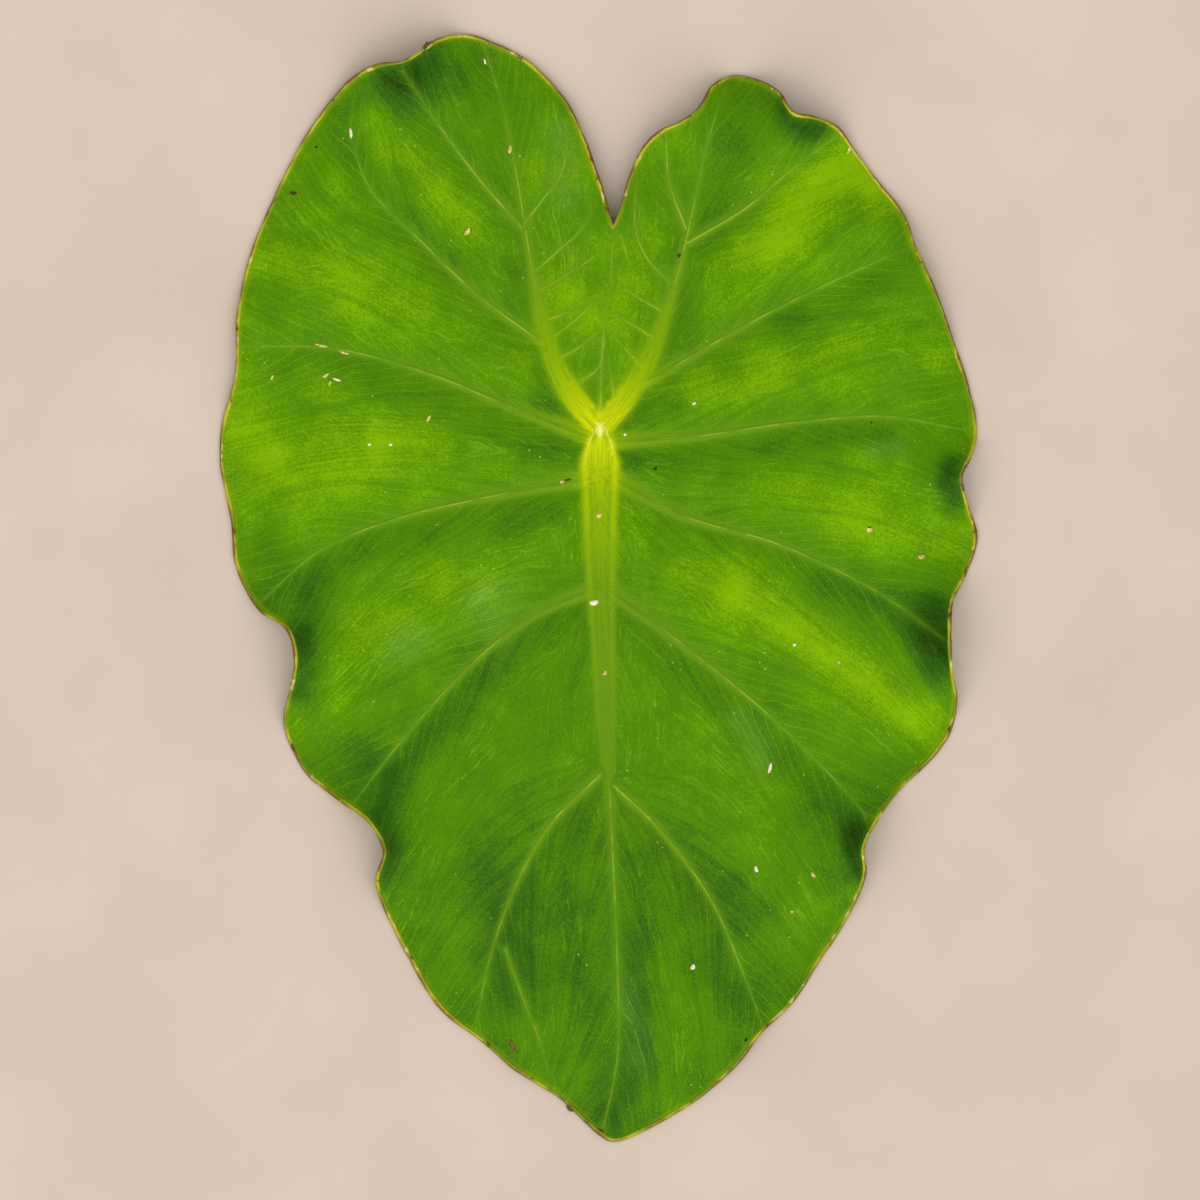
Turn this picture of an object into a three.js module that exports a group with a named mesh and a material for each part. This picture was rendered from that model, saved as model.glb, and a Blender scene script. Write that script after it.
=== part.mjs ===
// Elephant ear leaf, picked, with its stalk trimmed off close under the blade, lying face up on a surface.
// It grew as one piece, so it is one solid: a thin waved blade with its ribs standing out underneath.
//
// Millimetres, +Z up. The leaf is drawn from the point where the stalk joins the blade: x runs to the right
// of the leaf seen from above, y runs towards its two lobes, and heights are above the surface it lies on.
// The finished leaf is centred over the origin.

import * as THREE from "three";

// Blade
const BLADE_THICKNESS = 0.8;
const STALK_HEIGHT = 8; // upper face above the stalk
const OUTER_HEIGHT = 3; // upper face far from the stalk, before the margin's own waves
const STALK_SPREAD = 110; // how far out the rise over the stalk reaches
const QUILT_HEIGHT = 2.6; // how far the blade swells up between two ribs
const QUILT_SPREAD = 11;
const CURL_REACH = 32; // how far in from the margin its waves run out
const SETTLE = 0.6; // height over which the blade rounds off into a flat contact patch

// Stalk stub
const STUB_FLAT_RADIUS = 5.5;
const STUB_FOOT_RADIUS = 7.5;
const STUB_DEPTH = 9;

// Ribs
const RIB_END = [0.7, 0.8]; // half width and depth below the blade that a side rib runs out to

// Spacing of the corners of the facets
const MARGIN_STEP = 4;
const MARGIN_ROW = 4.5; // distance of a second row of corners inside the margin
const MARGIN_ROW_CLEARANCE = 2.8;
const STUB_CORNERS = 12;
const RIB_STEP = 6;
const RIB_CLEARANCE = 1.2;
const WIDE_RIB = 2.5; // half width from which a rib gets a corner on each shoulder
const FIELD_STEP = 9;
const FIELD_CLEARANCE = 5.4;
const MEASURING_STEP = 1; // spacing of the points that distances to a curve are measured to

// The margin, as [x, y, height of the upper face]. Heights below zero press the margin flat on the surface.
const MARGIN = [
  // From the notch up the inner edge of the right lobe and over its top
  [4.3, 67.3, 8], [7, 72.7, 8], [10, 82.7, 7], [14.7, 93.3, 7], [20, 98.7, 9], [27.3, 102, 12],
  [33.3, 106.7, 12], [37.7, 114, 8], [45, 117.7, 0], [52.7, 116, 4], [59.3, 111.7, 11], [64, 104.7, 16],
  [71.7, 103.3, 12], [79.3, 100, 5], [83.7, 94, 2],
  // Down the right side
  [92.7, 82, 1], [101, 71.3, 3], [104.3, 61.7, 6], [111.3, 46, 5], [117.7, 28.3, 2], [123, 11.7, -3],
  [125, -0.7, 0], [122.7, -9.3, 8], [119.7, -15.7, 13], [121.3, -23.3, 9], [125, -36, -4], [122, -46.7, 0],
  [116.7, -57.3, 11], [115.7, -70, 18], [116.7, -81.7, 13], [118.3, -90.7, 5], [115.7, -101.7, -3],
  [110, -109.3, -4], [100, -119, 1], [91, -131, 10], [87.2, -139, 15], [87.7, -148.3, 8], [81, -164, 1],
  [72.3, -177.3, -3], [63.3, -191, 1], [52.3, -201.7, 4], [46, -210.3, 3], [32.7, -222.3, 1], [16.7, -232, 0],
  // Round the tip and up the left side
  [4.7, -236.7, -3], [0, -234.3, -3], [-12.7, -222.7, 1], [-27.3, -213.3, 2], [-38.3, -204, 1],
  [-53, -192.3, -3], [-62.3, -177.3, -4], [-70.7, -160.7, 1], [-74, -150, 8], [-71.3, -140, 15],
  [-76, -130.7, 12], [-87.3, -122.3, 4], [-98, -113.3, -3], [-104.7, -98.3, 2], [-102.7, -87.3, 10],
  [-100.7, -76.7, 17], [-103.3, -66.7, 13], [-114, -58.7, 4], [-120.7, -45, 0], [-122.3, -30, -4],
  [-126, -10.7, -4], [-125.3, 1.7, 0], [-121, 18.3, 4], [-120.3, 38.3, 3], [-115.7, 59, 1], [-107.3, 79, 1],
  // Over the left lobe and back into the notch
  [-99.3, 95, 1], [-89, 109.7, 2], [-81.7, 117, 6], [-73.3, 120.7, 14], [-65.3, 121.7, 17], [-58, 126.3, 13],
  [-53.3, 129.7, 7], [-45, 131.3, 1], [-36.7, 129, -3], [-25, 123, 1], [-12.3, 110, 3], [-5.7, 96.7, 5],
  [0, 80.7, 7], [3, 70.3, 8],
];

// The ribs, drawn outwards. Base and end are [half width, depth below the blade]; RIB_END is the usual end.
const RIBS = [
  // Midrib, from the stalk to the tip
  {
    base: [6, 7.5], end: [0.9, 1],
    path: [[0, 1], [0, -17], [0.3, -50], [2, -97], [4.2, -140], [6, -185], [6, -207], [4, -220], [1, -233]],
  },
  // The two ribs that carry the lobes
  {
    base: [4.6, 6.5],
    path: [[-1, 2], [-8.3, 10], [-15.5, 23], [-20, 40], [-24.3, 63.3], [-27.5, 83], [-32, 106], [-39, 129]],
  },
  {
    base: [4.6, 6.5],
    path: [[1, 2], [6.7, 8.3], [15.5, 22], [21.7, 38.3], [27, 56], [31.3, 75], [35.7, 95], [42.3, 116]],
  },
  // Branches of the lobe ribs
  { base: [1.6, 2], path: [[-26, 67.3], [-40, 83.3], [-53.3, 101], [-65.7, 119.3]] },
  { base: [2.2, 3], path: [[-18.3, 28.3], [-40, 44.3], [-60, 63.3], [-77, 81], [-83, 97]] },
  { base: [1.6, 2], path: [[29.3, 62.3], [48.3, 73.7], [63, 86], [79, 98]] },
  { base: [1.3, 1.6], path: [[28.7, 66.7], [23, 83], [22, 98]] },
  { base: [2.4, 3.2], path: [[15, 15], [40, 30], [66.7, 44.3], [103, 61]] },
  // Side ribs of the left half, from the stalk towards the tip
  { base: [2.4, 3.4], path: [[-4, -2.3], [-30, 7.7], [-57, 18.7], [-88, 27], [-118, 28]] },
  { base: [2.4, 3.4], path: [[-2.7, -16], [-40, -23], [-66.7, -29.3], [-93, -40], [-113, -57]] },
  { base: [2.3, 3.2], path: [[-1.7, -52.7], [-22, -61.7], [-42, -77.3], [-64, -101], [-82, -124]] },
  { base: [1.8, 2.4], path: [[0, -115], [-16.7, -131.7], [-28, -151.7], [-37, -177], [-41.5, -200]] },
  // Side ribs of the right half
  { base: [2.4, 3.4], path: [[4, -4], [33.3, -2], [66.7, 2.7], [95, 4.5], [122, 0]] },
  { base: [2.4, 3.4], path: [[2.7, -15], [26.7, -28.3], [60, -38.3], [93, -54.3], [114, -69.5]] },
  { base: [2.3, 3.2], path: [[3.3, -53.3], [33.3, -76], [60, -98.3], [83, -121.7], [89, -129]] },
  { base: [1.8, 2.4], path: [[4.3, -118.3], [20, -133.3], [37, -156.7], [48, -181.7], [54, -198]] },
];

const { clamp, lerp } = THREE.MathUtils;

// A smooth curve through hand-set points, as points about one step apart along it.
function curveThrough(points, closed, step) {
  const corners = points.map(([x, y, z = 0]) => new THREE.Vector3(x, y, z));
  const curve = new THREE.CatmullRomCurve3(corners, closed, "centripetal");
  const spans = Math.round(curve.getLength() / step);
  const spaced = curve.getSpacedPoints(spans);
  return closed ? spaced.slice(0, -1) : spaced;
}

// The point of a polyline nearest to x, y, its distance and how far along the line it is, from 0 to 1.
function nearestOn(line, x, y) {
  let best = { distance: Infinity };
  line.forEach((point, i) => {
    const distance = Math.hypot(point.x - x, point.y - y);
    if (distance < best.distance) best = { distance, point, along: i / (line.length - 1) };
  });
  return best;
}

const margin = curveThrough(MARGIN, true, MARGIN_STEP);
const fineMargin = curveThrough(MARGIN, true, MEASURING_STEP);
const ribs = RIBS.map(({ base, end = RIB_END, path }) => {
  return { base, end, path, line: curveThrough(path, false, MEASURING_STEP) };
});

// True where x, y lies inside the margin: a ray from it crosses the margin an odd number of times.
function insideMargin(x, y) {
  let inside = false;
  margin.forEach((a, i) => {
    const b = margin[(i + 1) % margin.length];
    if (a.y > y !== b.y > y && x < a.x + ((y - a.y) / (b.y - a.y)) * (b.x - a.x)) inside = !inside;
  });
  return inside;
}

// Rounds a height off into the surface, so that what would go below it lies flat on it instead.
function settle(height) {
  if (height < -SETTLE) return 0;
  return height > SETTLE ? height : (height + SETTLE) ** 2 / (4 * SETTLE);
}

// Height of the upper face: a low rise over the stalk, quilted between the ribs, out to the waved margin.
function upperHeight(x, y) {
  const rise = (STALK_HEIGHT - OUTER_HEIGHT) * Math.exp(-((Math.hypot(x, y) / STALK_SPREAD) ** 2));
  const toRib = Math.min(...ribs.map((rib) => nearestOn(rib.line, x, y).distance));
  const quilt = QUILT_HEIGHT * (1 - Math.exp(-((toRib / QUILT_SPREAD) ** 2)));
  const edge = nearestOn(fineMargin, x, y);
  const curl = Math.max(0, 1 - edge.distance / CURL_REACH) ** 2;
  const height = lerp(OUTER_HEIGHT + rise + quilt, edge.point.z, curl);
  return BLADE_THICKNESS + settle(height - BLADE_THICKNESS);
}

// How far the half-round ribs and the stalk stub stand out below the blade.
function ribDepth(x, y) {
  const stub = (STUB_FOOT_RADIUS - Math.hypot(x, y)) / (STUB_FOOT_RADIUS - STUB_FLAT_RADIUS);
  const depths = ribs.map(({ line, base, end }) => {
    const { distance, along } = nearestOn(line, x, y);
    const across = distance / lerp(base[0], end[0], along);
    return across < 1 ? lerp(base[1], end[1], along) * Math.sqrt(1 - across ** 2) : 0;
  });
  return Math.max(STUB_DEPTH * clamp(stub, 0, 1), ...depths);
}

// The corners of the facets, seen from above: on the margin, along the ribs, round the stub and in between.
function placeSites() {
  const sites = margin.map(({ x, y }) => [x, y]);
  const add = (x, y, clearance) => {
    const clear = sites.every(([a, b]) => Math.hypot(a - x, b - y) >= clearance);
    if (clear && insideMargin(x, y)) sites.push([x, y]);
  };

  add(0, 0, RIB_CLEARANCE);
  for (const radius of [STUB_FLAT_RADIUS, STUB_FOOT_RADIUS]) {
    for (let i = 0; i < STUB_CORNERS; i++) {
      const turn = (2 * Math.PI * i) / STUB_CORNERS;
      add(radius * Math.cos(turn), radius * Math.sin(turn), RIB_CLEARANCE);
    }
  }

  for (const { path, base, end } of ribs) {
    const line = curveThrough(path, false, RIB_STEP);
    line.forEach((point, i) => {
      const ahead = line[Math.min(i + 1, line.length - 1)];
      const behind = line[Math.max(i - 1, 0)];
      const run = ahead.clone().sub(behind).normalize();
      const halfWidth = lerp(base[0], end[0], i / (line.length - 1));
      const clearance = Math.min(RIB_CLEARANCE, 0.9 * halfWidth);
      const shares = halfWidth > WIDE_RIB ? [0, -1, 1, -0.5, 0.5] : [0, -1, 1];
      for (const share of shares) {
        add(point.x - run.y * halfWidth * share, point.y + run.x * halfWidth * share, clearance);
      }
    });
  }

  margin.forEach((point, i) => {
    const ahead = margin[(i + 1) % margin.length];
    const behind = margin.at(i - 1);
    const run = ahead.clone().sub(behind).setZ(0).normalize();
    add(point.x + run.y * MARGIN_ROW, point.y - run.x * MARGIN_ROW, MARGIN_ROW_CLEARANCE);
  });

  const box = new THREE.Box3().setFromPoints(margin);
  const rowStep = FIELD_STEP * Math.sin(Math.PI / 3);
  for (let row = 0, y = box.min.y; y < box.max.y; row++, y += rowStep) {
    for (let x = box.min.x + (row % 2) * (FIELD_STEP / 2); x < box.max.x; x += FIELD_STEP) {
      add(x, y, FIELD_CLEARANCE);
    }
  }
  return sites;
}

// A triangle of three sites, anticlockwise, with the circle through them.
function triangleOf(sites, corners) {
  const [[ax, ay], [bx, by], [cx, cy]] = corners.map((corner) => sites[corner]);
  const [ux, uy, vx, vy] = [bx - ax, by - ay, cx - ax, cy - ay];
  const twiceArea = 2 * (ux * vy - uy * vx);
  const [u, v] = [ux * ux + uy * uy, vx * vx + vy * vy];
  const [dx, dy] = [(vy * u - uy * v) / twiceArea, (ux * v - vx * u) / twiceArea];
  return { corners, x: ax + dx, y: ay + dy, radius: Math.hypot(dx, dy) };
}

// Joins the sites into triangles whose circles hold no other site, adding one site at a time.
// Three far corners hold the first triangle, and what still touches them at the end lies outside.
function joinSites(sites) {
  const far = 1e5;
  const all = [...sites, [-far, -far], [far, -far], [0, far]];
  const first = sites.length;
  let triangles = [triangleOf(all, [first, first + 1, first + 2])];
  sites.forEach(([x, y], site) => {
    const edges = new Map();
    triangles = triangles.filter((triangle) => {
      if (Math.hypot(triangle.x - x, triangle.y - y) >= triangle.radius) return true;
      const [a, b, c] = triangle.corners;
      for (const [from, to] of [[a, b], [b, c], [c, a]]) {
        if (!edges.delete(`${to},${from}`)) edges.set(`${from},${to}`, [from, to]);
      }
      return false;
    });
    for (const [from, to] of edges.values()) triangles.push(triangleOf(all, [from, to, site]));
  });
  const joined = triangles.map(({ corners }) => corners);
  return joined.filter((corners) => corners.every((corner) => corner < first));
}

// The edges that only one triangle has, which run round the outside.
function openEdges(triangles) {
  const edges = new Map();
  for (const [a, b, c] of triangles) {
    for (const [from, to] of [[a, b], [b, c], [c, a]]) {
      if (!edges.delete(`${to},${from}`)) edges.set(`${from},${to}`, [from, to]);
    }
  }
  return [...edges.values()];
}

// The closed leaf: an upper face, a lower face with the same triangles, and the thin edge that joins them.
// The lower face is moved aside on a slope, so that the blade keeps its thickness there.
function leafGeometry() {
  const sites = placeSites();
  const upper = joinSites(sites).filter((corners) => {
    const middle = [0, 1].map((axis) => corners.reduce((sum, corner) => sum + sites[corner][axis], 0) / 3);
    return insideMargin(...middle);
  });

  const upperFace = new THREE.BufferGeometry();
  const upperPoints = sites.flatMap(([x, y]) => [x, y, upperHeight(x, y)]);
  upperFace.setAttribute("position", new THREE.Float32BufferAttribute(upperPoints, 3));
  upperFace.setIndex(upper.flat());
  upperFace.computeVertexNormals();

  const normals = upperFace.getAttribute("normal");
  const lowerPoints = sites.flatMap(([x, y], site) => {
    const height = upperPoints[3 * site + 2] - BLADE_THICKNESS - ribDepth(x, y);
    const asideX = BLADE_THICKNESS * normals.getX(site);
    const asideY = BLADE_THICKNESS * normals.getY(site);
    return [x - asideX, y - asideY, Math.max(0, height)];
  });

  const below = (corner) => corner + sites.length;
  const lower = upper.map(([a, b, c]) => [c, b, a].map(below));
  const edge = openEdges(upper).flatMap(([a, b]) => [[a, below(a), b], [b, below(a), below(b)]]);

  const leaf = new THREE.BufferGeometry();
  leaf.setAttribute("position", new THREE.Float32BufferAttribute([...upperPoints, ...lowerPoints], 3));
  leaf.setIndex([...upper, ...lower, ...edge].flat());
  leaf.computeVertexNormals();
  return leaf;
}

const geometry = leafGeometry();
geometry.computeBoundingBox();
const middle = geometry.boundingBox.getCenter(new THREE.Vector3());

const leafGreen = new THREE.MeshStandardMaterial({ color: 0x4b8f0c, roughness: 0.55, metalness: 0 });
const leaf = new THREE.Mesh(geometry, leafGreen);
leaf.name = "elephant_ear_leaf";
leaf.position.set(-middle.x, -middle.y, 0);

const part = new THREE.Group();
part.add(leaf);

export default part;
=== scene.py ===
# %% [markdown]
# # An elephant ear leaf, lying face up
#
# The leaf is one thin waved blade. Its veins are sunk into the upper face and stand out as ribs below.
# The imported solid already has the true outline, waves and ribs, with coarse facets. Here the same drawing
# is meshed again, much finer, and gets what the solid leaves out: the relief of the veins, the rim, the
# colours, and the flecks of dirt that lie on it.

import math

import bpy
import numpy as np
from mathutils import Matrix
from mathutils import Vector
from mathutils import noise
from mathutils.geometry import delaunay_2d_cdt


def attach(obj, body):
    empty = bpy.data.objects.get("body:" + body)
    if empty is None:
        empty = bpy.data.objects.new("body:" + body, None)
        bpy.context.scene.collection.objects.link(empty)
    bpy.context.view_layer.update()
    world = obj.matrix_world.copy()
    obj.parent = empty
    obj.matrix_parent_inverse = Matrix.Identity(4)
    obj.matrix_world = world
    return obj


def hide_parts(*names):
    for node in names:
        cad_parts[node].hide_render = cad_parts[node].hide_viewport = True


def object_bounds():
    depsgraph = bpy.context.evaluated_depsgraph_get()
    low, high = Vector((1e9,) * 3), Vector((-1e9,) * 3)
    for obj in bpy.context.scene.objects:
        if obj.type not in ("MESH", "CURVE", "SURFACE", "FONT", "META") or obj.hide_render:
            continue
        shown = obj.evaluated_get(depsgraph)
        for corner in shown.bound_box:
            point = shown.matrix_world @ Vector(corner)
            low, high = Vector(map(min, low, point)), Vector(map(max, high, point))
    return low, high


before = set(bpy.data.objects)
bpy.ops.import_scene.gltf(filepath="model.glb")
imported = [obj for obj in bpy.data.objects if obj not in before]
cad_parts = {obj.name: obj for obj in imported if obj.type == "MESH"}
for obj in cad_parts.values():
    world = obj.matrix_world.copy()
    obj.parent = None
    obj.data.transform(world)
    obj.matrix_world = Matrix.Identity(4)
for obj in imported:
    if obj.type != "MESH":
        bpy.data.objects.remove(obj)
LEAF_NODE = "elephant_ear_leaf"
CAD_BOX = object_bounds()
MM = 0.001
bpy.ops.object.select_all(action="DESELECT")
print("solid:", [round(side / MM, 1) for side in np.subtract(CAD_BOX[1], CAD_BOX[0])], "mm")

# %% [markdown]
# ## The drawing
#
# The leaf is drawn from the point where the stalk joins it: x to the right, y towards the lobes, in
# millimetres. A heart shape could be traced with a few arcs, but this margin rises and dips in waves, so
# it is a curve through points that carry a height as well. A height below zero presses the margin flat on
# the table. These are the points of the solid, so that the fine leaf lies exactly where the solid does.

# %% The margin
MARGIN = [
    # From the notch up the inner edge of the right lobe and over its top
    (4.3, 67.3, 8), (7, 72.7, 8), (10, 82.7, 7), (14.7, 93.3, 7), (20, 98.7, 9), (27.3, 102, 12),
    (33.3, 106.7, 12), (37.7, 114, 8), (45, 117.7, 0), (52.7, 116, 4), (59.3, 111.7, 11), (64, 104.7, 16),
    (71.7, 103.3, 12), (79.3, 100, 5), (83.7, 94, 2),
    # Down the right side
    (92.7, 82, 1), (101, 71.3, 3), (104.3, 61.7, 6), (111.3, 46, 5), (117.7, 28.3, 2), (123, 11.7, -3),
    (125, -0.7, 0), (122.7, -9.3, 8), (119.7, -15.7, 13), (121.3, -23.3, 9), (125, -36, -4), (122, -46.7, 0),
    (116.7, -57.3, 11), (115.7, -70, 18), (116.7, -81.7, 13), (118.3, -90.7, 5), (115.7, -101.7, -3),
    (110, -109.3, -4), (100, -119, 1), (91, -131, 10), (87.2, -139, 15), (87.7, -148.3, 8), (81, -164, 1),
    (72.3, -177.3, -3), (63.3, -191, 1), (52.3, -201.7, 4), (46, -210.3, 3), (32.7, -222.3, 1),
    (16.7, -232, 0),
    # Round the tip and up the left side
    (4.7, -236.7, -3), (0, -234.3, -3), (-12.7, -222.7, 1), (-27.3, -213.3, 2), (-38.3, -204, 1),
    (-53, -192.3, -3), (-62.3, -177.3, -4), (-70.7, -160.7, 1), (-74, -150, 8), (-71.3, -140, 15),
    (-76, -130.7, 12), (-87.3, -122.3, 4), (-98, -113.3, -3), (-104.7, -98.3, 2), (-102.7, -87.3, 10),
    (-100.7, -76.7, 17), (-103.3, -66.7, 13), (-114, -58.7, 4), (-120.7, -45, 0), (-122.3, -30, -4),
    (-126, -10.7, -4), (-125.3, 1.7, 0), (-121, 18.3, 4), (-120.3, 38.3, 3), (-115.7, 59, 1), (-107.3, 79, 1),
    # Over the left lobe and back into the notch
    (-99.3, 95, 1), (-89, 109.7, 2), (-81.7, 117, 6), (-73.3, 120.7, 14), (-65.3, 121.7, 17),
    (-58, 126.3, 13), (-53.3, 129.7, 7), (-45, 131.3, 1), (-36.7, 129, -3), (-25, 123, 1),
    (-12.3, 110, 3), (-5.7, 96.7, 5), (0, 80.7, 7), (3, 70.3, 8),
]
print("margin:", len(MARGIN), "points set by hand")

# %% [markdown]
# Each vein has a path, the half width and depth of its rib below the blade at both ends, and a taper:
# pairs of a share of its length and the half width that shows there on the upper face. The midrib starts
# as a narrow hood.

# %% The veins
MIDRIB_TAPER = [(0, 0.8), (0.02, 3.6), (0.05, 5.4), (0.1, 4.9), (0.2, 4.1), (0.3, 3.3), (0.4, 2.7),
                (0.48, 1.8), (0.56, 1.1), (0.7, 0.8), (1, 0.35)]
LOBE_TAPER = [(0, 3.4), (0.1, 3.4), (0.2, 2.6), (0.33, 1.8), (0.5, 1.0), (0.7, 0.55), (1, 0.3)]
SIDE_TAPER = [(0, 2.2), (0.15, 1.5), (0.4, 1.0), (0.7, 0.6), (1, 0.25)]
LIMB_TAPER = [(0, 1.2), (0.3, 0.95), (0.7, 0.55), (1, 0.25)]
BRANCH_TAPER = [(0, 1.0), (0.4, 0.65), (1, 0.25)]
THIN_TAPER = [(0, 0.4), (1, 0.2)]
RIB_END = (0.7, 0.8)
THIN_RIB = {"base": (0.6, 0.4), "end": (0.4, 0.2)}


def vein(taper, base, path, end=RIB_END):
    return {"taper": taper, "base": base, "end": end, "path": path}


VEINS = [
    # Midrib, from the stalk to the tip, and the two ribs that carry the lobes
    vein(MIDRIB_TAPER, (6, 7.5), [(0, 1), (0, -17), (0.3, -50), (2, -97), (4.2, -140), (6, -185), (6, -207),
                                  (4, -220), (1, -233)], (0.9, 1)),
    vein(LOBE_TAPER, (4.6, 6.5), [(-1, 2), (-8.3, 10), (-15.5, 23), (-20, 40), (-24.3, 63.3), (-27.5, 83),
                                  (-32, 106), (-39, 129)]),
    vein(LOBE_TAPER, (4.6, 6.5), [(1, 2), (6.7, 8.3), (15.5, 22), (21.7, 38.3), (27, 56), (31.3, 75),
                                  (35.7, 95), (42.3, 116)]),
    # Branches of the lobe ribs
    vein(BRANCH_TAPER, (1.6, 2), [(-26, 67.3), (-40, 83.3), (-53.3, 101), (-65.7, 119.3)]),
    vein(LIMB_TAPER, (2.2, 3), [(-18.3, 28.3), (-40, 44.3), (-60, 63.3), (-77, 81), (-83, 97)]),
    vein(BRANCH_TAPER, (1.6, 2), [(29.3, 62.3), (48.3, 73.7), (63, 86), (79, 98)]),
    vein(BRANCH_TAPER, (1.3, 1.6), [(28.7, 66.7), (23, 83), (22, 98)]),
    vein(LIMB_TAPER, (2.4, 3.2), [(15, 15), (40, 30), (66.7, 44.3), (103, 61)]),
    # Side ribs of the left half, from the stalk towards the tip
    vein(SIDE_TAPER, (2.4, 3.4), [(-4, -2.3), (-30, 7.7), (-57, 18.7), (-88, 27), (-118, 28)]),
    vein(SIDE_TAPER, (2.4, 3.4), [(-2.7, -16), (-40, -23), (-66.7, -29.3), (-93, -40), (-113, -57)]),
    vein(SIDE_TAPER, (2.3, 3.2), [(-1.7, -52.7), (-22, -61.7), (-42, -77.3), (-64, -101), (-82, -124)]),
    vein(BRANCH_TAPER, (1.8, 2.4), [(0, -115), (-16.7, -131.7), (-28, -151.7), (-37, -177), (-41.5, -200)]),
    # Side ribs of the right half
    vein(SIDE_TAPER, (2.4, 3.4), [(4, -4), (33.3, -2), (66.7, 2.7), (95, 4.5), (122, 0)]),
    vein(SIDE_TAPER, (2.4, 3.4), [(2.7, -15), (26.7, -28.3), (60, -38.3), (93, -54.3), (114, -69.5)]),
    vein(SIDE_TAPER, (2.3, 3.2), [(3.3, -53.3), (33.3, -76), (60, -98.3), (83, -121.7), (89, -129)]),
    vein(BRANCH_TAPER, (1.8, 2.4), [(4.3, -118.3), (20, -133.3), (37, -156.7), (48, -181.7), (54, -198)]),
]
THIN_PATHS = [
    # The vein to the notch, and the small ones inside the lobes and at the tip
    [(0, 5), (1, 30), (3.4, 50), (4.3, 66.3)],
    [(-25.2, 68.8), (-18.3, 77.7), (-13.4, 84), (-11.4, 91), (-10.6, 99)],
    [(-22.4, 52.6), (-18, 55.9), (-12.7, 60.7), (-7.7, 65), (-4, 70.7), (-3, 75), (-3.7, 78.3)],
    [(25, 47.6), (16.2, 56.3), (12, 65.4), (11.6, 73.8), (12, 82.3)],
    [(21.8, 38.8), (12, 44.4), (7.7, 47.4)],
    [(6.7, 64.7), (8, 61.3), (9.3, 56.7), (11, 54)],
    [(17.3, 31), (12, 34.3), (7.3, 37), (4.7, 39.3)],
    [(13, 21.7), (10, 25.3), (7, 28.3), (3.7, 32.3)],
    [(4.7, 11.3), (4, 16), (3, 20.7), (3, 24)],
    [(-20, 46.7), (-15.3, 49), (-10.7, 52), (-5.3, 55.3), (-0.7, 58.7), (2.7, 62.7)],
    [(-18, 36.7), (-13.3, 38), (-6.7, 42), (0.7, 46)],
    [(-16, 30.7), (-11.7, 33.7), (-5.7, 38.7), (0, 44.7)],
    [(-13.3, 24), (-8, 26.7), (-2.7, 30.7), (2, 34.7)],
    [(-8, 15.3), (-4, 17.7), (-0.7, 20.3), (0.7, 24.7), (1.7, 30)],
    [(-31.6, -173), (-27.7, -184), (-24.3, -193), (-20.3, -203), (-16.7, -216)],
]
THIN_VEINS = [vein(THIN_TAPER, THIN_RIB["base"], path, THIN_RIB["end"]) for path in THIN_PATHS]
ALL_VEINS = VEINS + THIN_VEINS
print("veins:", len(VEINS), "ribs and", len(THIN_VEINS), "thin veins")

# %% [markdown]
# ## Curves and distances
#
# Blender's own curves could be drawn through the points, but the leaf also needs to know how far every
# place on it lies from every vein. A curve kept as rows of points answers that with a little vector
# algebra.

# %% Curves through points
DENSE_STEPS = 40


def curve_through(points, closed, step):
    """Points about one step apart on a smooth curve (centripetal Catmull-Rom) through given points."""
    knots = np.array(points, float)
    if closed:
        knots = np.vstack([knots[-1], knots, knots[:2]])
    else:
        knots = np.vstack([2 * knots[0] - knots[1], knots, 2 * knots[-1] - knots[-2]])
    share = np.linspace(0, 1, DENSE_STEPS, endpoint=False)[:, None]
    spans = []
    for before, start, end, after in zip(knots, knots[1:], knots[2:], knots[3:]):
        gaps = [np.linalg.norm(b - a) ** 0.5 for a, b in ((before, start), (start, end), (end, after))]
        leaving = (start - before) / gaps[0] - (end - before) / (gaps[0] + gaps[1]) + (end - start) / gaps[1]
        arriving = (end - start) / gaps[1] - (after - start) / (gaps[1] + gaps[2]) + (after - end) / gaps[2]
        leaving, arriving = leaving * gaps[1], arriving * gaps[1]
        bend = 3 * (end - start) - 2 * leaving - arriving
        twist = 2 * (start - end) + leaving + arriving
        spans.append(start + leaving * share + bend * share ** 2 + twist * share ** 3)
    dense = np.vstack(spans + [knots[-2]])
    run = np.concatenate([[0], np.cumsum(np.linalg.norm(np.diff(dense, axis=0), axis=1))])
    count = max(2, round(run[-1] / step))
    places = np.linspace(0, run[-1], count if closed else count + 1, endpoint=not closed)
    return np.column_stack([np.interp(places, run, column) for column in dense.T])


def sideways(line, closed=False):
    """The unit direction to the left of a line at each of its points, seen from above."""
    if closed:
        along = np.roll(line, -1, axis=0) - np.roll(line, 1, axis=0)
    else:
        along = np.gradient(line, axis=0)
    along = along[:, :2] / np.linalg.norm(along[:, :2], axis=1)[:, None]
    return np.column_stack([-along[:, 1], along[:, 0]])


# %% [markdown]
# The distance from a place to a curve is the shortest of the distances to its short straight pieces. The
# places are taken in chunks, because all places times all pieces at once would need too much memory.

# %% Distances to a curve
CHUNK = 4_000_000


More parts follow.
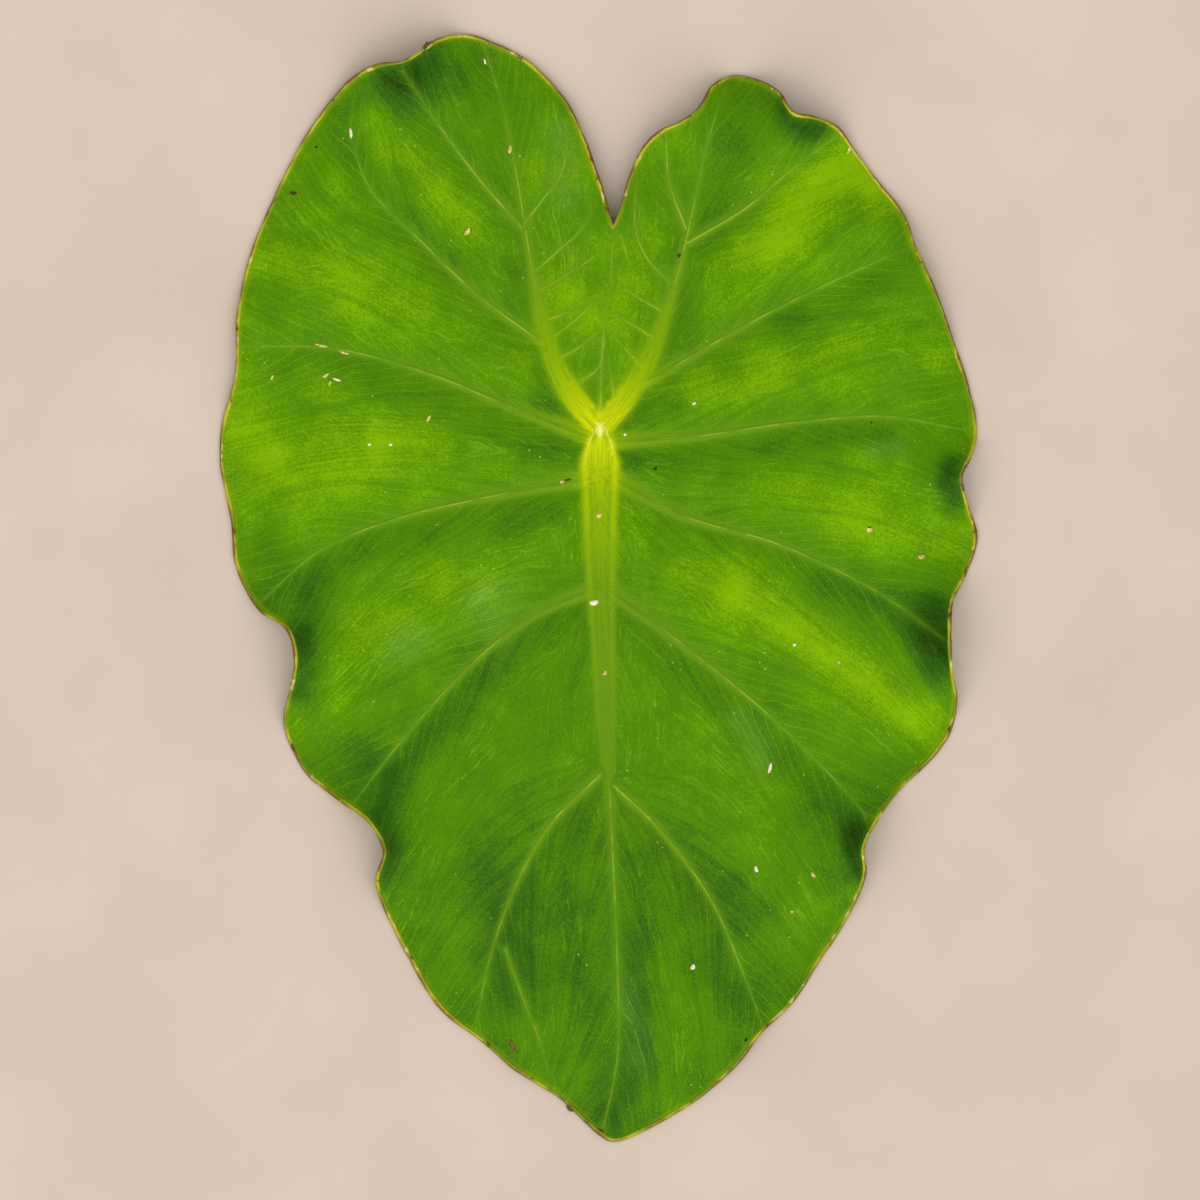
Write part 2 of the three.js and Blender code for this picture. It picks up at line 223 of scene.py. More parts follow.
def measure(places, line):
    """For each place its distance to a line and the share of the line's length there, then that length."""
    line = np.asarray(line, float)[:, :2]
    starts, steps = line[:-1], np.diff(line, axis=0)
    squares = np.maximum((steps ** 2).sum(1), 1e-12)
    run = np.concatenate([[0], np.cumsum(np.sqrt(squares))])
    distance, along = [], []
    for part in np.array_split(places, max(1, len(places) * len(starts) // CHUNK)):
        offset = part[:, None, :] - starts[None, :, :]
        share = np.clip((offset * steps).sum(2) / squares, 0, 1)
        gap = ((offset - share[..., None] * steps) ** 2).sum(2)
        best = gap.argmin(1)
        rows = np.arange(len(part))
        distance.append(np.sqrt(gap[rows, best]))
        along.append(run[best] + share[rows, best] * (run[best + 1] - run[best]))
    return np.concatenate(distance), np.concatenate(along) / run[-1], run[-1]


def taper_at(one_vein, along):
    shares, widths = zip(*one_vein["taper"])
    return np.interp(along, shares, widths)


LINE_STEP = 1.5
for one_vein in ALL_VEINS:
    one_vein["line"] = curve_through(one_vein["path"], False, LINE_STEP)
margin_line = curve_through(MARGIN, True, 0.9)
margin_ring = np.vstack([margin_line, margin_line[:1]])
print("margin length:", round(np.linalg.norm(np.diff(margin_ring, axis=0), axis=1).sum()), "mm")

# %% [markdown]
# ## Where the corners of the fine mesh go
#
# A plain grid cut to the outline would cross the veins at an angle and make their edges ragged. So the
# corners are placed in order of importance: on the margin, along each vein at fixed shares of its width,
# in rows inside the rim, and last in an even field. A corner is dropped where an earlier one is too near.
# Blender's constrained Delaunay call then joins them.

# %% Corners and triangles
FIELD_STEP = 1.75
VEIN_SHARES = (0, -0.5, 0.5, -1, 1, -1.5, 1.5, -2.4, 2.4)
VEIN_SITE_STEP = 1.3
RIM_ROWS = (0.8, 1.7, 2.8, 4.0)


class Sites:
    """Corners that keep a distance from each other, in square cells so that neighbours are found fast."""

    CELL = 2.0

    def __init__(self):
        self.points = []
        self.cells = {}

    def add(self, x, y, clearance):
        column, row = int(x // self.CELL), int(y // self.CELL)
        for near_column in range(column - 1, column + 2):
            for near_row in range(row - 1, row + 2):
                for a, b in self.cells.get((near_column, near_row), ()):
                    if (a - x) ** 2 + (b - y) ** 2 < clearance ** 2:
                        return
        self.points.append((x, y))
        self.cells.setdefault((column, row), []).append((x, y))


def inside_margin(places):
    """True for the places inside the margin: a ray from each crosses it an odd number of times."""
    inside = np.zeros(len(places), bool)
    for (ax, ay, _), (bx, by, _) in zip(margin_ring, margin_ring[1:]):
        between = (ay > places[:, 1]) != (by > places[:, 1])
        if between.any():
            crossing = ax + (places[:, 1] - ay) / (by - ay + 1e-12) * (bx - ax)
            inside ^= between & (places[:, 0] < crossing)
    return inside


def add_inside(sites, places, clearance, margin_gap):
    places = places[inside_margin(places)]
    room = measure(places, margin_ring)[0]
    for x, y in places[room > margin_gap]:
        sites.add(x, y, clearance)


sites = Sites()
for x, y, _ in margin_line:
    sites.add(x, y, 0.0)
for one_vein in ALL_VEINS:
    line = curve_through(one_vein["path"], False, VEIN_SITE_STEP)
    left = sideways(line)
    widths = taper_at(one_vein, np.linspace(0, 1, len(line)))
    for share in VEIN_SHARES:
        add_inside(sites, line + left * (share * widths)[:, None], 0.28, 0.5)
inward = sideways(margin_line, closed=True)
for row_gap in RIM_ROWS:
    add_inside(sites, margin_line[:, :2] + inward * row_gap, 0.65, row_gap - 0.2)
low, high = margin_line.min(0), margin_line.max(0)
field = []
for number, y in enumerate(np.arange(low[1], high[1], FIELD_STEP * math.sin(math.pi / 3))):
    for x in np.arange(low[0] + (number % 2) * FIELD_STEP / 2, high[0], FIELD_STEP):
        field.append((x, y))
add_inside(sites, np.array(field), 0.6 * FIELD_STEP, 0.6)

ring_edges = [(i, (i + 1) % len(margin_line)) for i in range(len(margin_line))]
joined = delaunay_2d_cdt([Vector(point) for point in sites.points], ring_edges, [], 1, 1e-5)
flat = np.array([tuple(point) for point in joined[0]])
triangles = [tuple(face) for face in joined[2]]
print("upper face:", len(flat), "corners,", len(triangles), "triangles")

# %% [markdown]
# ## The form of the blade
#
# The height of the upper face is a sum of a few plain effects: a low rise over the stalk, a swelling
# between the ribs, and the waves of the margin, which run out a few centimetres in. What would sink into
# the table is rounded off into a flat patch. This repeats the solid's own formula. Only the margin height
# is blended over a few millimetres of the margin, where the solid takes the nearest point and has small
# creases.

# %% Heights
BLADE_THICKNESS = 0.8
STALK_HEIGHT, OUTER_HEIGHT, STALK_SPREAD = 8, 3, 110
QUILT_HEIGHT, QUILT_SPREAD = 2.6, 11
CURL_REACH = 32
SETTLE = 0.6
BLEND_REACH, BLEND_GROWTH = 0.4, 0.35
STUB_FLAT_RADIUS, STUB_FOOT_RADIUS, STUB_DEPTH = 5.5, 7.5, 9


def settle(height):
    rounded = (height + SETTLE) ** 2 / (4 * SETTLE)
    return np.where(height < -SETTLE, 0, np.where(height > SETTLE, height, rounded))


def blended_margin_height(places, nearest):
    """The margin's height beside each place, averaged over a stretch that grows with the distance to it."""
    heights = []
    for part, part_gap in zip(np.array_split(places, 20), np.array_split(nearest, 20)):
        gap = np.linalg.norm(part[:, None, :] - margin_line[None, :, :2], axis=2)
        reach = BLEND_REACH + BLEND_GROWTH * part_gap[:, None]
        weight = np.exp(-(gap - gap.min(1, keepdims=True)) / reach)
        heights.append((weight * margin_line[:, 2]).sum(1) / weight.sum(1))
    return np.concatenate(heights)


rim_gap = measure(flat, margin_ring)[0]
rim_height = blended_margin_height(flat, rim_gap)
vein_gap, vein_along, vein_width = [], [], []
for one_vein in ALL_VEINS:
    gap, along, one_vein["length"] = measure(flat, one_vein["line"])
    vein_gap.append(gap)
    vein_along.append(along)
    vein_width.append(taper_at(one_vein, along))
vein_gap, vein_along, vein_width = np.array(vein_gap), np.array(vein_along), np.array(vein_width)

stalk_gap = np.hypot(flat[:, 0], flat[:, 1])
rise = (STALK_HEIGHT - OUTER_HEIGHT) * np.exp(-(stalk_gap / STALK_SPREAD) ** 2)
to_rib = vein_gap[: len(VEINS)].min(0)
quilt = QUILT_HEIGHT * (1 - np.exp(-(to_rib / QUILT_SPREAD) ** 2))
curl = np.maximum(0, 1 - rim_gap / CURL_REACH) ** 2
form = (OUTER_HEIGHT + rise + quilt) * (1 - curl) + rim_height * curl
upper = BLADE_THICKNESS + settle(form - BLADE_THICKNESS)
print("upper face from", round(upper.min(), 2), "to", round(upper.max(), 2), "mm high")

# %% [markdown]
# ## The relief of the veins
#
# Seen close, each vein is a low round cord in a shallow groove. The midrib is broad near the stalk, with
# raised shoulders and a faint channel between them. Sculpting could do this, but the distance to each
# vein is known at every corner, so a profile across the vein gives an even result along its whole length.

# %% Vein profiles
GROOVE_DEPTH, GROOVE_SPREAD = 0.45, 1.6
GROOVE_FULL_WIDTH = 0.8
CORD_HEIGHT, CORD_FULL_WIDTH = 0.5, 1.2
CHANNEL_DEPTH, CHANNEL_SPREAD = 0.4, 0.45
BROAD_FROM, BROAD_OVER = 1.5, 3
RELIEF_LIFT = 2
RIPPLE_HEIGHT, RIPPLE_SIZE = 0.5, 24
BUCKLE_HEIGHT, BUCKLE_SIZE = 0.12, 7

across = vein_gap / vein_width
cord = np.sqrt(np.clip(1 - across ** 2, 0, 1)) * CORD_HEIGHT * np.minimum(1, vein_width / CORD_FULL_WIDTH)
groove = np.exp(-(vein_gap / (vein_width + GROOVE_SPREAD)) ** 2) * GROOVE_DEPTH
groove = groove * np.minimum(1, vein_width / GROOVE_FULL_WIDTH)
broad_midrib = np.clip((vein_width[0] - BROAD_FROM) / BROAD_OVER, 0, 1)
channel = np.exp(-(across[0] / CHANNEL_SPREAD) ** 2) * broad_midrib * CHANNEL_DEPTH
ripple = [noise.noise(Vector((x, y, 0)) / RIPPLE_SIZE) * RIPPLE_HEIGHT for x, y in flat]
buckle = [noise.noise(Vector((x, y, 9)) / BUCKLE_SIZE) * BUCKLE_HEIGHT for x, y in flat]
lying = np.clip((upper - BLADE_THICKNESS) / RELIEF_LIFT, 0, 1)
upper = upper + lying * (cord.max(0) - groove.max(0) - channel + np.array(ripple) + np.array(buckle))
print("relief:", round(float(cord.max()), 2), "mm cords in", round(float(groove.max()), 2), "mm grooves")

# %% [markdown]
# ## From a sheet to a leaf
#
# The corners become a mesh sheet, and a Solidify modifier gives it the blade's thickness downwards. The
# corners of the new lower face are then let down by the depth of the rib above them, and by the trimmed
# end of the stalk.

# %% The blade
SMOOTH_ANGLE = math.radians(50)
drawn_middle = (low + high) / 2
cad_middle = (np.array(CAD_BOX[0]) + np.array(CAD_BOX[1])) / 2 / MM
SHIFT = np.array([cad_middle[0] - drawn_middle[0], cad_middle[1] - drawn_middle[1], 0])


def new_piece(name, corners_mm, faces):
    """A mesh object from corners in the leaf's drawing, placed in the frame."""
    mesh = bpy.data.meshes.new(name)
    mesh.from_pydata([tuple(corner) for corner in (np.asarray(corners_mm) + SHIFT) * MM], [], faces)
    piece = bpy.data.objects.new(name, mesh)
    bpy.context.collection.objects.link(piece)
    return piece


def make_active(piece):
    bpy.ops.object.select_all(action="DESELECT")
    piece.select_set(True)
    bpy.context.view_layer.objects.active = piece


blade = new_piece("leaf_blade", np.column_stack([flat, upper]), triangles)
make_active(blade)
thickness = blade.modifiers.new("thickness", "SOLIDIFY")
thickness.thickness = BLADE_THICKNESS * MM
thickness.offset = -1
bpy.ops.object.modifier_apply(modifier=thickness.name)

rib_depth = np.zeros(len(flat))
for number, one_vein in enumerate(ALL_VEINS):
    half_width = one_vein["base"][0] + (one_vein["end"][0] - one_vein["base"][0]) * vein_along[number]
    depth = one_vein["base"][1] + (one_vein["end"][1] - one_vein["base"][1]) * vein_along[number]
    rounded = np.sqrt(np.clip(1 - (vein_gap[number] / half_width) ** 2, 0, 1))
    rib_depth = np.maximum(rib_depth, depth * rounded)
stub = np.clip((STUB_FOOT_RADIUS - stalk_gap) / (STUB_FOOT_RADIUS - STUB_FLAT_RADIUS), 0, 1)
rib_depth = np.maximum(rib_depth, STUB_DEPTH * stub)

corners = np.empty(len(blade.data.vertices) * 3)
blade.data.vertices.foreach_get("co", corners)
corners = corners.reshape(-1, 3)
lower = corners[len(flat):]
lower[:, 2] = np.maximum(0, lower[:, 2] - rib_depth * MM)
blade.data.vertices.foreach_set("co", corners.ravel())
blade.data.update()
bpy.ops.object.shade_smooth_by_angle(angle=SMOOTH_ANGLE)
print("blade:", len(blade.data.vertices), "corners,", len(blade.data.polygons), "faces")

# %% [markdown]
# ## Painted light and shade
#
# The light and shade of the blade are painted into its colour: painted light in the middle of its panels,
# painted shade beside the ribs and in the pockets behind the raised waves. Noise alone would put these
# anywhere, so they are painted: each stroke has a strength (painted light above zero, painted shade below),
# a reach in millimetres and a short path.

# %% Painted light and shade strokes
LIGHT_AND_SHADE_STROKES = [
    # Painted light along the middles of the panels
    (0.5, 16, [(-118, 0), (-100, -12), (-72, -10)]),
    (0.75, 9, [(45, -54), (68, -68), (86, -82), (108, -98)]),
    (0.9, 9, [(55, 62), (66, 74), (80, 88), (92, 86)]),
    (0.5, 6, [(-74, 104), (-62, 90), (-44, 70)]),
    (0.35, 9, [(-112, 55), (-88, 50), (-60, 42)]),
    (0.45, 9, [(-10, 48), (5, 32), (4, 58)]),
    (0.3, 8, [(35, 12), (60, 20), (92, 28), (112, 24)]),
    (0.4, 10, [(68, -22), (90, -32), (112, -38)]),
    (0.35, 11, [(35, -104), (50, -118), (56, -145), (70, -158)]),
    (0.25, 13, [(-50, -50), (-75, -66), (-92, -95)]),
    (0.25, 8, [(-55, -126), (-52, -146)]),
    (0.25, 6, [(23, -182), (27, -206)]),
    # Painted shade in the pockets behind the raised waves
    (-1.1, 8, [(-70, 115), (-62, 118), (-57, 122)]),
    (-0.6, 12, [(-66, 110), (-48, 115)]),
    (-1.2, 6, [(63, 107), (66, 101), (72, 100)]),
    (-0.4, 9, [(48, 98), (58, 100)]),
    (-1.2, 5, [(117, -12), (116, -17), (118, -24)]),
    (-1.3, 8, [(112, -60), (113, -70), (114, -78)]),
    (-0.6, 7, [(74, -50), (94, -59), (106, -68)]),
    (-1.2, 5, [(85, -134), (84, -140), (85, -146)]),
    (-0.4, 6, [(70, -118), (82, -130)]),
    (-1.0, 6, [(-100, -70), (-98, -77), (-100, -86)]),
    (-0.5, 9, [(-106, -50), (-97, -62)]),
    (-0.8, 6, [(-73, -130), (-69, -140), (-71, -147)]),
    (-0.6, 8, [(-80, -107), (-71, -120)]),
    # Painted shade beside the ribs
    (-0.45, 6, [(-98, -50), (-70, -37), (-45, -33), (-14, -27)]),
    (-0.4, 6, [(-66, -113), (-46, -90), (-24, -72), (-9, -64)]),
    (-0.55, 11, [(-38, -142), (-36, -152), (-29, -172), (-28, -186)]),
    (-0.35, 6, [(-9, -128), (-10, -165), (-3, -205)]),
    (-0.45, 5, [(13, -145), (14, -186), (14, -212)]),
    (-0.3, 10, [(30, -136), (45, -152), (42, -176), (46, -190)]),
    (-0.35, 6, [(9, -64), (40, -92), (60, -108)]),
    (-0.45, 4, [(8, -10), (40, -9), (68, -4), (95, -2)]),
    (-0.45, 6, [(-88, 98), (-78, 86), (-62, 68), (-45, 53)]),
    (-0.45, 6, [(-29, 40), (-29, 52)]),
    (-0.4, 8, [(36, 68), (44, 90)]),
    (-0.5, 5, [(30, 29), (27, 44)]),
    (-0.4, 7, [(64, 35), (92, 48), (101, 57)]),
    (-0.3, 6, [(-16, -6), (-46, 4), (-80, 18)]),
    (-0.4, 7, [(3, -224), (8, -230)]),
    (-0.3, 5, [(-53, 100), (-33, 80)]),
    # Painted shade in the corners between the midrib, the lobe ribs and the first side ribs
    (-0.5, 5, [(-9, 3), (-20, 9)]),
    (-0.5, 5, [(10, 4), (24, 7)]),
    (-0.6, 4, [(0, 9), (0.5, 17)]),
    (-0.5, 5, [(-9, -9), (-24, -8)]),
    (-0.35, 6, [(9, -10), (24, -14)]),
]
TIP_SHADE = 0.42
TIP_SHADE_START, TIP_SHADE_END = -40, -150

STROKE_STEP = 2.0


def stroke(reach, path):
    """One at a path on the blade, falling softly to nothing about one reach and a half away."""
    distance = measure(flat, curve_through(path, False, STROKE_STEP))[0]
    return np.exp(-(distance / reach) ** 2)


# The strokes add up to painted light and shade, and a painted shade grows towards the tip.
painted = np.zeros(len(flat))
for strength, reach, path in LIGHT_AND_SHADE_STROKES:
    painted += strength * stroke(reach, path)
towards_tip = np.clip((flat[:, 1] - TIP_SHADE_START) / (TIP_SHADE_END - TIP_SHADE_START), 0, 1)
painted -= TIP_SHADE * towards_tip
SCUFFS_AND_SHEEN = [
    # Whitish places, partly rubbed wax and partly painted sheen
    (5, [(-13, 99), (-11, 92), (-13, 84), (-11, 77)]),
    (4, [(7, -186), (12, -200), (13, -210)]),
    (4, [(46, -96), (52, -104), (54, -110)]),
    (9, [(-36, -58), (-34, -64)]),
    (6, [(-62, -70), (-66, -72)]),
    (3, [(92, -6), (100, -5)]),
]
rubbed_and_sheen = np.zeros(len(flat))
for reach, path in SCUFFS_AND_SHEEN:
    rubbed_and_sheen = np.maximum(rubbed_and_sheen, stroke(reach, path))
print("strokes:", len(LIGHT_AND_SHADE_STROKES), "from", round(painted.min(), 2), "to", round(painted.max(), 2))

# %% [markdown]
# ## What the colours need to know
#
# Each corner stores where it is in the leaf's pattern, as named attributes that the material reads. The
# fine veins leave a rib at a steep angle and bend outwards until they run along the middle of the panel
# between two ribs. That bend is a logarithm of how far across the half panel a place lies, and counting
# along it gives each fine vein a whole number, the "phase".

# %% Attributes
FINE_SPACING = 7.0
FINE_BEND = 1.7
EXTENSION = 25
VEIN_FADE = 0.75
BROAD_RIBS = 3
NEIGHBOUR_POWER = 6.0
LAST_PART, LAST_FADE = 0.98, 0.1
WARM_REACH, WARM_SPREAD, WARM_GROUND = 42, 3, 0.35
PHASE_OFFSET = 0.37
THIN_SHARE = 0.8
SLIM_FROM, SLIM_OVER = 1.7, 0.6
CREASE_FROM, CREASE_OVER = 0.75, 0.4


def extended(line):
    """A vein carried on past its end, so that places beyond it still lie beside it."""
    onward = line[-1] - line[-4]
    onward = onward / np.linalg.norm(onward)
    return np.vstack([line, line[-1] + onward * np.linspace(EXTENSION / 10, EXTENSION, 10)[:, None]])


gaps, lengths = [], []
for one_vein in VEINS + THIN_VEINS[:1]:
    gap, along, length = measure(flat, extended(one_vein["line"]))
    gaps.append(gap)
    lengths.append(along * length)
gaps, lengths = np.maximum(gaps, 0.01), np.array(lengths)
columns = np.arange(len(flat))
nearest = gaps.argmin(0)
nearest_gap = gaps[nearest, columns]
others = gaps ** -NEIGHBOUR_POWER
others[nearest, columns] = 0
second_gap = np.maximum(others.sum(0) ** (-1 / NEIGHBOUR_POWER), nearest_gap)
half_panel = (nearest_gap + second_gap) / 2
part_across = np.clip(nearest_gap / half_panel, 0, 1)
bent = np.log(1 - np.minimum(part_across, LAST_PART)) * FINE_BEND * half_panel
fine_phase = (lengths[nearest, columns] + bent) / FINE_SPACING + PHASE_OFFSET * nearest
fine_fade = np.clip((LAST_PART - part_across) / LAST_FADE, 0, 1)
fine_fade[nearest == len(VEINS)] = 0

beyond_edge = vein_gap - vein_width
edge_order = beyond_edge.argmin(0)
beyond_broad_ribs = np.maximum(0, beyond_edge[:BROAD_RIBS].min(0))
beside_broad_ribs = np.exp(-beyond_broad_ribs / WARM_SPREAD)
warmth = np.exp(-stalk_gap / WARM_REACH) * (WARM_GROUND + (1 - WARM_GROUND) * beside_broad_ribs)
thin_share = np.where(edge_order < len(VEINS), 1, THIN_SHARE)
vein_run = vein_along * np.array([[one_vein["length"]] for one_vein in ALL_VEINS])
nearest_width = vein_width[edge_order, columns]


def keep_values(piece, name, values):
    """Keeps one value per corner of a piece as a mesh attribute."""
    layer = piece.data.attributes.new(name, "FLOAT", "POINT")
    layer.data.foreach_set("value", np.asarray(values, np.float32))


def store(name, upper_values, lower_values=None):
    """Keeps values on the blade: those of the upper face, then those of the lower one."""
    lower_values = upper_values if lower_values is None else lower_values
    keep_values(blade, name, np.concatenate([upper_values, lower_values]))


# The painted light and shade of the strokes.
store("light", painted)
store("scuff_and_sheen", rubbed_and_sheen)
store("vein_edge", np.clip(beyond_edge.min(0), -8, 12))
store("vein_strength", (1 - VEIN_FADE * vein_along[edge_order, columns] ** 1.5) * thin_share)
store("vein_run", vein_run[edge_order, columns])
store("vein_gap", np.minimum(vein_gap.min(0), 20))
store("vein_slim", np.clip((SLIM_FROM - nearest_width) / SLIM_OVER, 0, 1))
# Painted shade down the middle of the ribs other than the midrib and the lobe ribs, as in a crease.
crease_shade = np.clip((nearest_width - CREASE_FROM) / CREASE_OVER, 0, 1)
store("vein_crease_shade", crease_shade * (edge_order >= BROAD_RIBS))
store("midrib_across", np.minimum(across[0], 4))
store("midrib_broad", broad_midrib)
store("warmth", warmth)
store("stalk_gap", np.minimum(stalk_gap, 60))
store("panel_run", lengths[nearest, columns])
store("panel_gap", nearest_gap)
store("part_across", part_across)
store("fine_phase", fine_phase)
store("fine_fade", fine_fade)
store("mid_panel", part_across * np.clip(half_panel / 10, 0, 1))
store("rim_gap", np.minimum(rim_gap, 30))
store("rib", np.clip(rib_depth / 2, 0, 1))
store("under", np.zeros(len(flat)), np.ones(len(flat)))
print("attributes:", len([layer for layer in blade.data.attributes if layer.data_type == "FLOAT"]))

# %% [markdown]
# ## Shader helpers
#
# Node trees are written here much as they are wired by hand: each helper adds one node, plugs in what it
# is given and hands back the socket that comes out.


# %% Node helpers
def srgb(red, green, blue):
    """A colour given as it looks on a screen, from 0 to 255, as linear light."""
    screen = np.array([red, green, blue]) / 255
    linear = np.where(screen <= 0.04045, screen / 12.92, ((screen + 0.055) / 1.055) ** 2.4)
    return (*linear.tolist(), 1.0)


class Shader:
    """A material and the few kinds of node that this leaf needs."""

    def __init__(self, name):
        self.material = bpy.data.materials.new(name)
        self.material.use_nodes = True
        self.tree = self.material.node_tree
        self.surface = self.tree.nodes["Principled BSDF"]

    def plug(self, value, socket):
        if isinstance(value, bpy.types.NodeSocket):
            self.tree.links.new(value, socket)
        else:
            socket.default_value = value

    def attribute(self, name):
        node = self.tree.nodes.new("ShaderNodeAttribute")
        node.attribute_name = name
        return node.outputs["Fac"]

    def place(self):
        return self.tree.nodes.new("ShaderNodeTexCoord").outputs["Object"]

    def maths(self, operation, *values):
        node = self.tree.nodes.new("ShaderNodeMath")
        node.operation = operation
        for value, socket in zip(values, node.inputs):
            self.plug(value, socket)
        return node.outputs[0]

    def plus(self, total, *others):
        for value in others:
            total = self.maths("ADD", total, value)
        return total

    def times(self, product, *others):
        for value in others:
            product = self.maths("MULTIPLY", product, value)
        return product

    def ramp(self, value, start, end, low=0.0, high=1.0):
        """A smooth step from low to high as the value goes from start to end."""
        node = self.tree.nodes.new("ShaderNodeMapRange")
        node.interpolation_type = "SMOOTHSTEP"
        settings = {"Value": value, "From Min": start, "From Max": end, "To Min": low, "To Max": high}
        for name, number in settings.items():
            self.plug(number, node.inputs[name])
        return node.outputs["Result"]

    def band(self, value, rise, top, fall, end):
        """A smooth rise from rise to top, and a smooth fall from fall to end."""
        return self.times(self.ramp(value, rise, top), self.ramp(value, fall, end, 1.0, 0.0))

    def vector(self, x, y, z):
        node = self.tree.nodes.new("ShaderNodeCombineXYZ")
        for value, socket in zip((x, y, z), node.inputs):
            self.plug(value, socket)
        return node.outputs[0]

    def noise(self, size_mm, detail=3.0, place=None):
        node = self.tree.nodes.new("ShaderNodeTexNoise")
        self.plug(place or self.place(), node.inputs["Vector"])
        node.inputs["Scale"].default_value = 1 / (size_mm * MM)
        node.inputs["Detail"].default_value = detail
        return node.outputs["Fac"]

    def cells(self, size_mm, feature="F1"):
        node = self.tree.nodes.new("ShaderNodeTexVoronoi")
        node.feature = feature
        self.plug(self.place(), node.inputs["Vector"])
        node.inputs["Scale"].default_value = 1 / (size_mm * MM)
        return node.outputs["Distance"]

    def mix(self, share, first, second):
        node = self.tree.nodes.new("ShaderNodeMix")
        node.data_type = "RGBA"
        self.plug(share, node.inputs[0])
        self.plug(first, node.inputs[6])
        self.plug(second, node.inputs[7])
        return node.outputs[2]

    def bump(self, height, distance_mm, strength):
        node = self.tree.nodes.new("ShaderNodeBump")
        self.plug(height, node.inputs["Height"])
        node.inputs["Distance"].default_value = distance_mm * MM
        node.inputs["Strength"].default_value = strength
        return node.outputs["Normal"]

    def finish(self, colour, roughness, normal=None, specular=0.2):
        self.plug(colour, self.surface.inputs["Base Color"])
        self.plug(roughness, self.surface.inputs["Roughness"])
        self.surface.inputs["Specular IOR Level"].default_value = specular
        if normal:
            self.plug(normal, self.surface.inputs["Normal"])
        return self.material


# %% [markdown]
# ## Leaf green
#
# The upper face runs from a near black green of painted shade in the pockets to a yellowish green of painted
# light, by the painted strokes and some noise. Over that come the fine veins with a net between them, the
# pale ribs with their fibres, the yellow star at the stalk and the rim. The lower face is paler and duller,
# with pale ribs.

# %% Leaf colours
# The pocket green is painted shade; the deep, mid and bright greens carry painted shade and light as well as
# the leaf's own tone.
POCKET_SHADE_GREEN, DEEP_AND_SHADED_GREEN = srgb(34, 64, 6), srgb(52, 102, 18)
MID_GREEN, BRIGHT_GREEN = srgb(84, 143, 2), srgb(134, 187, 0)
FINE_GREEN, DOT_GREEN, SCUFF_AND_SHEEN_GREY = srgb(140, 190, 26), srgb(196, 218, 96), srgb(146, 186, 92)
HALO_GREEN, VEIN_GREEN, CORE_GREEN = srgb(92, 144, 22), srgb(108, 154, 18), srgb(166, 198, 54)
VEIN_WARM, VEIN_YELLOW, STAR_YELLOW = srgb(142, 182, 4), srgb(212, 224, 0), srgb(252, 250, 140)
RIM_YELLOW = srgb(140, 170, 8)
UNDER_GREEN, UNDER_RIB = srgb(118, 156, 88), srgb(164, 188, 112)
MOTTLE_SIZE, MOTTLE = 14, 0.24
SWEEP = 0.18
MID_PANEL_LIGHT = 0.24
WOBBLE_SIZE, WOBBLE = 13, 1.3
NET_SIZE, GRAIN_SIZE = 1.4, 0.8
FEATHER_LENGTH = 1.6
RELIEF_HEIGHT, RELIEF_STRENGTH = 0.28, 0.7
LEAF_GLOSS = 0.035
STRETCHED = 1000
print("noise:", MOTTLE_SIZE, "mm mottling and", GRAIN_SIZE, "mm grain")

# %% [markdown]
# A fine vein runs wherever the phase is a whole number, with three times as many weak ones between.
# Broken streaks run with the ribs in the middle of each panel. Drawing them one by one would take
# thousands of curves, so noise stretched along the pattern lets them come and go.


# %% Fine veins
def fine_veins(leaf, phase):
    strong = leaf.ramp(leaf.maths("PINGPONG", phase, 0.5), 0.01, 0.085, 1.0, 0.0)
    strong = leaf.times(strong, leaf.ramp(leaf.noise(22, 3.0), 0.34, 0.54))
    weak = leaf.ramp(leaf.maths("PINGPONG", leaf.times(phase, 3.0), 0.5), 0.02, 0.16, 0.5, 0.0)
    weak = leaf.times(weak, leaf.ramp(leaf.noise(8, 3.0), 0.42, 0.66))
    return leaf.maths("MAXIMUM", strong, weak)


def panel_streaks(leaf):
    along = leaf.times(leaf.attribute("panel_run"), 0.03)
    lane = leaf.plus(leaf.times(leaf.attribute("panel_gap"), 0.6), leaf.times(leaf.noise(25), 5.0))
    drift = leaf.times(leaf.noise(40), 4.0)
    pattern = leaf.noise(STRETCHED, 2.0, leaf.vector(along, lane, drift))
    off_line = leaf.maths("ABSOLUTE", leaf.maths("SUBTRACT", pattern, 0.5))
    streak = leaf.ramp(off_line, 0.004, 0.035, 0.8, 0.0)
    mid_panel = leaf.ramp(leaf.attribute("part_across"), 0.3, 0.75)
    broken = leaf.ramp(leaf.noise(17, 2.0), 0.35, 0.6)
    return leaf.times(streak, mid_panel, broken)


# %% [markdown]
# How light a place is gathers in one number, the level: the painted light and shade of the strokes, soft
# mottling, painted light in the middle of the panel, sweeps along the fine veins, and the grain. The level
# then picks the green, from painted shade in the pockets to painted light.


# %% Blade green
def light_level(leaf, phase, fade, net, grain):
    mottle = leaf.ramp(leaf.noise(MOTTLE_SIZE, 4.0), 0.25, 0.75, -MOTTLE, MOTTLE)
    mid_panel = leaf.times(leaf.attribute("mid_panel"), MID_PANEL_LIGHT)
    along = leaf.times(leaf.attribute("panel_run"), 0.02)
    sweep = leaf.noise(STRETCHED, 2.0, leaf.vector(leaf.times(phase, 0.8), along, 0.0))
    sweep = leaf.times(leaf.ramp(sweep, 0.3, 0.7, -SWEEP, SWEEP), fade)
    speckle = leaf.ramp(grain, 0.25, 0.75, 0.16, -0.28)
    return leaf.plus(leaf.attribute("light"), mottle, mid_panel, sweep, leaf.times(net, 0.1), speckle)


